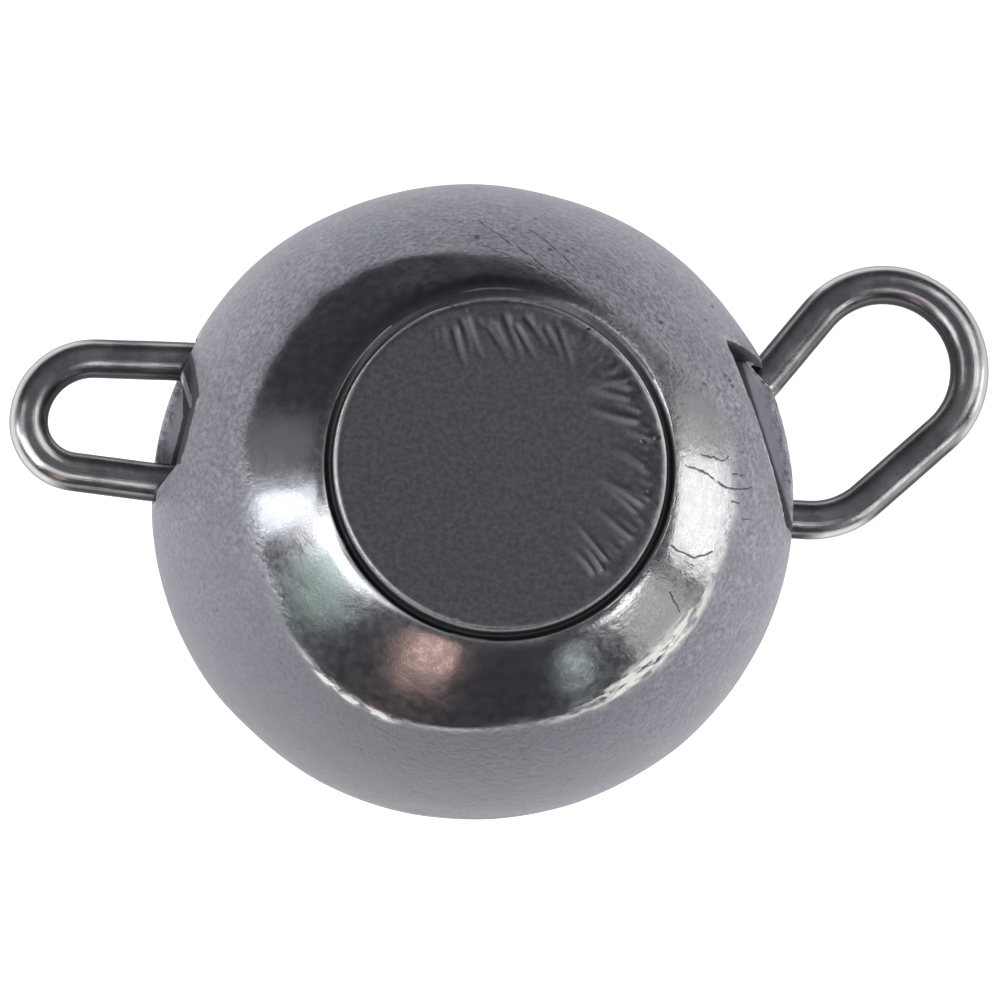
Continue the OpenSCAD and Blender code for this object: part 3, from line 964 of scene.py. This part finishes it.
# The rest: painted shade in the groove, painted highlights on the rim and the burr, lips rubbed
# light and painted with highlight, the shelf, painted shade in the slot and at the lips, painted
# highlights along edges at the mouths, and the marks on the skin
# Painted highlight: the burr is painted nearly white in broken patches, where it would glint
burr_painted_highlight = math_node(tree, "MULTIPLY", (0, 4), burr_glint.outputs["Wear"], 1.9, clamp=True)
for at, share, colour in (
    ((1, 3), area["groove"], (0.055, 0.053, 0.06)),
    ((1, 5), area["rim"], (0.97, 0.95, 0.93)),
    ((1, 4), burr_painted_highlight, (1.0, 0.98, 0.93)),
    ((2, 3), lip_wear_and_highlight.outputs["Wear"], (0.6, 0.6, 0.61)),
    ((3, 4), area["ledge"], (0.5, 0.5, 0.56)),
    ((3, 3), area["inside"], (0.045, 0.045, 0.052)),
    ((3, 5), painted_lip_shade, (0.045, 0.043, 0.052)),
    ((4, 5), painted_edge_highlight, (0.82, 0.81, 0.8)),
    ((4, 3), pits, (0.09, 0.09, 0.1)),
    ((5, 3), crack, (0.045, 0.042, 0.045)),
):
    tone = mix_colour(tree, at, share, tone, colour)
tree.links.new(tone, shader.inputs["Base Color"])


def mix_value(at, share, a, b):
    """A plain number mix, for roughness and the like."""
    made = node(tree, "ShaderNodeMix", at, data_type="FLOAT")
    for socket, value in ((made.inputs[0], share), (made.inputs[2], a), (made.inputs[3], b)):
        if isinstance(value, bpy.types.NodeSocket):
            tree.links.new(value, socket)
        else:
            socket.default_value = value
    return made.outputs[0]


rough = ramp(tree, (-1, 0), skin.outputs["Grain"], 0, 1, 0.42, 0.56)
burnish = ramp(tree, (-1, -1), satin.outputs["Mottle"], 0.0, 1.0, 0.165, 0.225)
rough = mix_value((0, 0), area["shoulder"], rough, burnish)
for at, share, roughness in (
    ((1, 0), area["flat"], 0.36),
    ((1, -1), area["groove"], 0.6),
    ((2, 0), burr_painted_highlight, 0.5),
    ((3, 0), lip_wear_and_highlight.outputs["Wear"], 0.25),
    ((4, 0), area["inside"], 0.75),
    ((5, 0), painted_lip_shade, 0.75),
    ((5, -1), painted_edge_highlight, 0.45),
    ((6, -1), area["rim"], 0.24),
):
    rough = mix_value(at, share, rough, roughness)
tree.links.new(rough, shader.inputs["Roughness"])

# The dull oxide on the cast side hides the metal in part, and the pressed parts show it bare
bare = math_node(tree, "MAXIMUM", (2, 1), area["shoulder"], area["flat"], clamp=True)
metal_share = mix_value((3, 1), bare, 0.5, 1.0)
for at, share, metallic in (
    ((4, 1), area["ledge"], 0.1),
    ((4, 0), area["inside"], 0.0),
    ((5, 1), painted_lip_shade, 0.0),
    ((6, 1), painted_edge_highlight, 0.2),
    ((7, 1), burr_painted_highlight, 0.2),
):
    metal_share = mix_value(at, share, metal_share, metallic)
tree.links.new(metal_share, shader.inputs["Metallic"])
tree.links.new(mix_value((5, 2), area["inside"], 0.5, 0.12), shader.inputs["Specular IOR Level"])

# Relief: the cast grain, except on what was pressed or rubbed, with cracks and pits sunk into it
cast_relief_h = 0.016
relief = skin.outputs["Grain"]
for at, name in (((0, -2), "shoulder"), ((1, -2), "flat"), ((1, -1), "ledge")):
    relief = mix_value(at, area[name], relief, 0.5)
sunk = math_node(tree, "MAXIMUM", (1, -3), crack, pits)
relief = math_node(tree, "SUBTRACT", (2, -2), relief, sunk)
fine_relief = math_node(tree, "MULTIPLY", (2, -3), satin.outputs["Grain"], 0.025)
# The shoulder is uneven like orange peel on the side where the press bit least
peel = speckle(tree, (0, -5), where, 3.6, 3.0)
peel = math_node(tree, "MULTIPLY", (1, -5), peel, area["peel"])
peel = math_node(tree, "MULTIPLY", (2, -5), peel, 0.5)
marks = math_node(tree, "MULTIPLY", (1, -6), press_marks, area["shoulder"])
marks = math_node(tree, "MULTIPLY", (2, -6), marks, 0.11)
relief = math_node(tree, "ADD", (2, -4), relief, marks)
relief = math_node(tree, "ADD", (3, -4), relief, peel)
relief = math_node(tree, "ADD", (3, -2), relief, fine_relief)
bump = node(tree, "ShaderNodeBump", (6, -2))
bump.inputs["Strength"].default_value = 1.0
bump.inputs["Distance"].default_value = cast_relief_h * MM
tree.links.new(relief, bump.inputs["Height"])
tree.links.new(bump.outputs["Normal"], shader.inputs["Normal"])

ball.data.materials.clear()
ball.data.materials.append(lead)
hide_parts("lead_weight")
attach(ball, "weight")

# The clip. It is one length of hard-drawn stainless spring wire, bent cold round pins: a small
# eye for the line, a long leg through the slot, and a larger slanted eye for the hook. Both ends
# are cut off with pliers and lie in the slot, where the wire's own spring holds them.
wire_r = 0.415
tail_gap = 1.4
line_tail_y = 0.035
hook_tail_y = 0.035
turn_in = 0.975
arm_deg = 53.0
arm_bend_r = 1.0
arm_l = 1.83
hook_eye_r = 1.83
return_deg = 44.0
return_bend_r = 1.8
spacing = 0.09
# Bends tighter than this are worn bright on their outer side
tight_r = 5
route = []


class Bender:
    """Where the wire has got to on the bending jig: x and y in mm, and heading in degrees."""

    x = -tail_gap / 2
    y = line_tail_y
    heading = 180.0


def straight(length):
    """Feeds the wire straight on."""
    steps = max(1, round(length / spacing))
    for _ in range(steps):
        Bender.x += length / steps * math.cos(math.radians(Bender.heading))
        Bender.y += length / steps * math.sin(math.radians(Bender.heading))
        route.append((Bender.x, Bender.y, Bender.heading, 0.0))


def bend(radius, turn_deg):
    """Bends the wire round a pin: to the left for a positive turn."""
    steps = max(2, round(radius * math.radians(abs(turn_deg)) / spacing))
    hand = math.copysign(1, turn_deg)
    heading = math.radians(Bender.heading)
    pin_x = Bender.x - hand * radius * math.sin(heading)
    pin_y = Bender.y + hand * radius * math.cos(heading)
    for _ in range(steps):
        Bender.heading += turn_deg / steps
        heading = math.radians(Bender.heading)
        Bender.x = pin_x + hand * radius * math.sin(heading)
        Bender.y = pin_y - hand * radius * math.cos(heading)
        route.append((Bender.x, Bender.y, Bender.heading, hand if radius < tight_r else 0.0))


# Line eye: its two sides spread a little towards the ball, and it is rounder above than below
route.append((Bender.x, Bender.y, Bender.heading, 0.0))
straight(5.75)
bend(9.0, -4.2)
straight(1.43)
lower_bend_r = 1.06
upper_bend_r = 1.39
bend(lower_bend_r, -85.8)
bend(upper_bend_r, -88.6)
straight(1.75)
bend(16.0, -1.67)
# Long leg, up to the bend that turns it out of the ball, and the slanted hook eye
arm_tangent = arm_bend_r * math.tan(math.radians(arm_deg / 2))
straight(ball_r - turn_in - arm_tangent - Bender.x)
bend(arm_bend_r, arm_deg - Bender.heading)
straight(arm_l)
bend(hook_eye_r, -(180 + arm_deg - return_deg))
return_tangent = return_bend_r * math.tan(math.radians(return_deg / 2))
straight((Bender.y - hook_tail_y) / math.sin(math.radians(return_deg)) - return_tangent)
bend(return_bend_r, -return_deg)
straight(Bender.x - tail_gap / 2)

sides = 28
wire = bmesh.new()
along_layer = wire.verts.layers.float.new("along")
round_layer = wire.verts.layers.float_vector.new("round")
bend_layer = wire.verts.layers.float.new("bent")


def wire_ring(x, y, heading_deg, radius, along, bent, lean=0.0):
    """One ring of the wire's skin, square to its heading, or leaning where it is cut."""
    heading = math.radians(heading_deg)
    ring = []
    for s in range(sides):
        angle = 2 * math.pi * s / sides
        beside = radius * math.cos(angle)
        above = radius * math.sin(angle)
        ahead = lean * beside
        co = Vector(
            (
                x - beside * math.sin(heading) + ahead * math.cos(heading),
                y + beside * math.cos(heading) + ahead * math.sin(heading),
                above,
            )
        )
        vert = wire.verts.new(co)
        vert[along_layer] = along
        vert[round_layer] = Vector((math.cos(angle), math.sin(angle), along))
        vert[bend_layer] = bent
        ring.append(vert)
    return ring


# How far each place is bent, eased over the ends of the bends
eased_over = 9
kernel = np.ones(eased_over) / eased_over
eased_hand = np.convolve([hand for _, _, _, hand in route], kernel, "same")
uneven = 0.006
rings = []
travelled = 0.0
before = route[0]
for n, (x, y, heading, _) in enumerate(route):
    travelled += math.hypot(x - before[0], y - before[1])
    before = (x, y)
    drift = uneven * noise.noise(Vector((travelled * 0.35, 2.7, 0)))
    radius = wire_r * (1 + uneven * noise.noise(Vector((travelled * 1.7, 0, 4.0))))
    sway = math.radians(heading + 90)
    x_drift = x + drift * math.cos(sway)
    y_drift = y + drift * math.sin(sway)
    rings.append(wire_ring(x_drift, y_drift, heading, radius, travelled, eased_hand[n]))

# Cut ends: the pliers' bite leaves a slanted face with a small rolled edge. Each ring is given by
# its radius, how far out it stands and how far it leans
cut_back = 0.08
cut_rings = ((wire_r - 0.035, 0.0, 0.0), (wire_r - 0.09, 0.028, 0.12))
cut_rings += ((wire_r - 0.2, 0.045, 0.2), (0.03, 0.05, 0.2))
for end, step in ((0, -1), (-1, 1)):
    x, y, heading, _ = route[end]
    direction = math.radians(heading)
    along = 0.0 if end == 0 else travelled
    caps = []
    for radius, out, lean in cut_rings:
        x_out = x + step * (out - 0.05) * math.cos(direction)
        y_out = y + step * (out - 0.05) * math.sin(direction)
        caps.append(wire_ring(x_out, y_out, heading, radius, along, 0.0, lean * step))
    for vert in rings[end]:
        vert.co.x -= cut_back * step * math.cos(direction)
    rings = list(reversed(caps)) + rings if end == 0 else rings + caps
for ring_a, ring_b in zip(rings, rings[1:]):
    for s in range(sides):
        k = (s + 1) % sides
        wire.faces.new((ring_a[s], ring_b[s], ring_b[k], ring_a[k]))
wire.faces.new(rings[0])
wire.faces.new(list(reversed(rings[-1])))
bmesh.ops.recalc_face_normals(wire, faces=wire.faces[:])
clip_mesh = bpy.data.meshes.new("spring_wire_clip")
wire.to_mesh(clip_mesh)
wire.free()
clip_mesh.transform(shift)
clip_mesh.shade_smooth()
clip_mesh.set_sharp_from_angle(angle=math.radians(50))
clip = bpy.data.objects.new("spring_wire_clip", clip_mesh)
bpy.context.scene.collection.objects.link(clip)

# Drawn wire: fine lines from the die run along it, rubbed brighter where it is handled
steel = bpy.data.materials.new("spring_wire")
steel.use_nodes = True
tree = steel.node_tree
tree.nodes.clear()
shader = node(tree, "ShaderNodeBsdfPrincipled", (8, 0))
surface_out = node(tree, "ShaderNodeOutputMaterial", (10, 0))
tree.links.new(shader.outputs["BSDF"], surface_out.inputs["Surface"])
shader.inputs["Specular Tint"].default_value = (0.3, 0.3, 0.32, 1)
coords = node(tree, "ShaderNodeTexCoord", (-8, 0))
in_mm = node(tree, "ShaderNodeVectorMath", (-7, 0), operation="SCALE")
in_mm.inputs["Scale"].default_value = 1 / MM
tree.links.new(coords.outputs["Object"], in_mm.inputs[0])
where = in_mm.outputs["Vector"]
round_wire = node(tree, "ShaderNodeAttribute", (-7, -2), attribute_name="round")
drawn = node(tree, "ShaderNodeVectorMath", (-6, -2), operation="MULTIPLY")
drawn.inputs[1].default_value = (7.0, 7.0, 0.35)
tree.links.new(round_wire.outputs["Vector"], drawn.inputs[0])
lines = speckle(tree, (-5, -2), drawn.outputs["Vector"], 1.6, 5.0, 0.7)
lines = ramp(tree, (-4, -2), lines, 0.32, 0.68)
skin = node(tree, "ShaderNodeGroup", (-5, 2), node_tree=grain)
skin.inputs["Fine"].default_value = 14.0
skin.inputs["Slow"].default_value = 1.9
tree.links.new(where, skin.inputs["Place"])
handled = node(tree, "ShaderNodeGroup", (-5, 0), node_tree=wear_glint_group)
handled.inputs["Patches"].default_value = 1.2
handled.inputs["Mask"].default_value = 0.8
tree.links.new(where, handled.inputs["Place"])
around = node(tree, "ShaderNodeSeparateXYZ", (-6, -3))
tree.links.new(round_wire.outputs["Vector"], around.inputs["Vector"])
on_face = math_node(tree, "ABSOLUTE", (-5, -3), around.outputs["Y"])
on_face = ramp(tree, (-4, -3), on_face, 0.4, 0.72)
drawn_dark = (0.228, 0.223, 0.236)
drawn_light = (0.318, 0.307, 0.309)
tone = mix_colour(tree, (-2, 3), lines, drawn_dark, drawn_light)
tone = mix_colour(tree, (-1, 3), skin.outputs["Mottle"], tone, (0.273, 0.266, 0.276))
tone = mix_colour(tree, (0, 3), handled.outputs["Wear"], tone, (0.45, 0.44, 0.433))
# Painted shade: the flanks are painted dark and less metallic, for the dark that the wire's sides
# would reflect
painted_flank_shade = (0.08, 0.077, 0.088)
tone = mix_colour(tree, (1, 3), on_face, painted_flank_shade, tone)
# The outer side of each eye is rubbed brightest
bent = node(tree, "ShaderNodeAttribute", (-7, -4), attribute_name="bent")
outer_side = math_node(tree, "MULTIPLY", (-5, -4), around.outputs["X"], bent.outputs["Fac"])
outer_side = ramp(tree, (-4, -4), outer_side, -0.95, -0.35, 1.0, 0.0)
tone = mix_colour(tree, (2, 3), outer_side, tone, (0.62, 0.61, 0.6))
tree.links.new(tone, shader.inputs["Base Color"])
off_flank = math_node(tree, "MAXIMUM", (2, 2), on_face, outer_side, clamp=True)
tree.links.new(mix_value((3, 2), off_flank, 0.25, 1.0), shader.inputs["Metallic"])
tree.links.new(mix_value((3, 1), off_flank, 0.05, 0.5), shader.inputs["Specular IOR Level"])
rough = ramp(tree, (-1, 0), skin.outputs["Mottle"], 0, 1, 0.17, 0.24)
tree.links.new(rough, shader.inputs["Roughness"])
drawn_relief_h = 0.0018
relief = math_node(tree, "MULTIPLY", (-1, -2), lines, 0.6)
fine_relief = math_node(tree, "MULTIPLY", (0, -3), skin.outputs["Grain"], 0.25)
relief = math_node(tree, "ADD", (0, -2), relief, fine_relief)
bump = node(tree, "ShaderNodeBump", (6, -2))
bump.inputs["Strength"].default_value = 1.0
bump.inputs["Distance"].default_value = drawn_relief_h * MM
tree.links.new(relief, bump.inputs["Height"])
tree.links.new(bump.outputs["Normal"], shader.inputs["Normal"])
clip.data.materials.append(steel)
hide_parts("wire_clip")
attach(clip, "clip")

# The paper that the sinker lies on. It isn't part of the object: a white sheet whose own glow and
# colour fall off some way out as a painted pool of light, with the sinker's faint shadow on it.
floor_half = 3.0
paper_mesh = bpy.data.meshes.new("paper")
paper_mesh.from_pydata(
    [
        (-floor_half, -floor_half, 0),
        (floor_half, -floor_half, 0),
        (floor_half, floor_half, 0),
        (-floor_half, floor_half, 0),
    ],
    [],
    [(0, 1, 2, 3)],
)
paper_sheet = bpy.data.objects.new("paper", paper_mesh)
bpy.context.scene.collection.objects.link(paper_sheet)
paper_sheet.location.z = -0.00001
paper = bpy.data.materials.new("paper")
paper.use_nodes = True
tree = paper.node_tree
tree.nodes.clear()
surface_out = node(tree, "ShaderNodeOutputMaterial", (10, 0))
matte = node(tree, "ShaderNodeBsdfDiffuse", (6, 1))
glow = node(tree, "ShaderNodeEmission", (6, -1))
both = node(tree, "ShaderNodeAddShader", (8, 0))
rays = node(tree, "ShaderNodeLightPath", (-4, -1))
seen = rays.outputs["Is Camera Ray"]
seen = math_node(tree, "MAXIMUM", (-2, -1), seen, rays.outputs["Is Glossy Ray"])
seen = math_node(tree, "MAXIMUM", (-1, -1), seen, rays.outputs["Is Transmission Ray"])
spot = node(tree, "ShaderNodeNewGeometry", (-4, 1))
from_middle = node(tree, "ShaderNodeVectorMath", (-3, 1), operation="LENGTH")
tree.links.new(spot.outputs["Position"], from_middle.inputs[0])
pool_r = 0.017
painted_pool_glow = ramp(tree, (-2, 1), from_middle.outputs["Value"], pool_r, 0.09, 0.8, 0.12)
strength = math_node(tree, "MULTIPLY", (2, -1), seen, painted_pool_glow)
painted_pool_colour = ramp(tree, (2, 1), from_middle.outputs["Value"], pool_r, 0.12, 0.8, 0.45)
tree.links.new(painted_pool_colour, matte.inputs["Color"])
tree.links.new(strength, glow.inputs["Strength"])
tree.links.new(matte.outputs["BSDF"], both.inputs[0])
tree.links.new(glow.outputs["Emission"], both.inputs[1])
tree.links.new(both.outputs["Shader"], surface_out.inputs["Surface"])
paper_sheet.data.materials.append(paper)

# Studio light: a dim room and soft lamps at the sides, low enough for the shoulder to show them
room = bpy.data.worlds.new("room")
bpy.context.scene.world = room
room.use_nodes = True
tree = room.node_tree
tree.nodes.clear()
room_out = node(tree, "ShaderNodeOutputWorld", (6, 0))
backdrop = node(tree, "ShaderNodeBackground", (4, 0))
tree.links.new(backdrop.outputs["Background"], room_out.inputs["Surface"])
heading_in = node(tree, "ShaderNodeTexCoord", (-4, 0))
split = node(tree, "ShaderNodeSeparateXYZ", (-3, 0))
tree.links.new(heading_in.outputs["Generated"], split.inputs["Vector"])
level = ramp(tree, (0, 0), split.outputs["Z"], 0.3, 0.95, 0.075, 0.22)
tree.links.new(level, backdrop.inputs["Strength"])
backdrop.inputs["Color"].default_value = (0.97, 0.98, 1.1, 1)


lamp_distance = 0.4


def softbox(name, azimuth_deg, elevation_deg, width, height, radiance, colour=(1, 1, 1)):
    """A soft lamp aimed at the ball from a direction, its width and height in metres."""
    lamp = bpy.data.lights.new(name, "AREA")
    lamp.shape = "RECTANGLE"
    lamp.size = width
    lamp.size_y = height
    lamp.energy = radiance * width * height * math.pi
    lamp.color = colour
    made = bpy.data.objects.new(name, lamp)
    azimuth = math.radians(azimuth_deg)
    elevation = math.radians(elevation_deg)
    outward = Vector(
        (
            math.cos(azimuth) * math.cos(elevation),
            math.sin(azimuth) * math.cos(elevation),
            math.sin(elevation),
        )
    )
    made.location = Vector((0, 0, centre_z)) + outward * lamp_distance
    made.rotation_mode = "QUATERNION"
    made.rotation_quaternion = outward.to_track_quat("Z", "Y")
    bpy.context.scene.collection.objects.link(made)
    return made


softbox("lamp_left", 186, 17, 0.1, 0.13, 3.7, (0.95, 0.98, 1.0))
softbox("window_left", 213, 40, 0.19, 0.19, 3.9, (0.97, 0.99, 1.0))
softbox("lamp_left_high", 172, 45, 0.14, 0.08, 2.6, (1.0, 0.93, 0.89))
softbox("lamp_left_back", 168, 14, 0.1, 0.1, 0.3)
softbox("lamp_left_front", 201, 31, 0.09, 0.11, 5.0)
softbox("lamp_right", 0, 8, 0.2, 0.14, 3.0, (1.0, 0.985, 0.94))
softbox("lamp_right_low", -31, 9, 0.15, 0.16, 0.95, (1.0, 0.98, 0.95))
softbox("lamp_right_front", -36, 27, 0.14, 0.07, 4.2, (1.0, 0.99, 0.97))
softbox("lamp_right_side", 23, 5, 0.1, 0.1, 0.9, (1.0, 0.98, 0.95))
softbox("lamp_right_high", 27, 46, 0.34, 0.22, 1.9)
softbox("lamp_front_left", 216, 24, 0.13, 0.1, 1.0, (0.76, 1.0, 0.88))
softbox("lamp_front_warm", 253, 24.5, 0.08, 0.055, 2.35, (1.0, 0.66, 0.56))
softbox("lamp_front_right", 301, 17, 0.05, 0.035, 2.1, (0.88, 1.0, 0.98))
softbox("lamp_front_high", 262, 55, 0.3, 0.12, 1.45)

# The camera looks almost straight down, as in the photograph, through a long lens
frame_width = 0.02125
lens = 500.0
right = Vector((0.99375, 0.04344, 0.1028)).normalized()
back = Vector((-0.09582, -0.14074, 0.985)).normalized()
above = back.cross(right).normalized()
right = above.cross(back)
eye = bpy.data.cameras.new("camera")
eye.lens = lens
eye.sensor_width = 36.0
eye.clip_start = 0.01
eye.clip_end = 50.0
camera = bpy.data.objects.new("camera", eye)
bpy.context.scene.collection.objects.link(camera)
aim_right = 0.582
aim_up = 0.051
aim = Vector((0, 0, centre_z)) + (aim_right * right + aim_up * above) * MM
stand_off = frame_width * lens / eye.sensor_width
facing = Matrix((right, above, back)).transposed().to_4x4()
camera.matrix_world = Matrix.Translation(aim + back * stand_off) @ facing
bpy.context.scene.camera = camera
bpy.context.scene.view_settings.view_transform = "Standard"
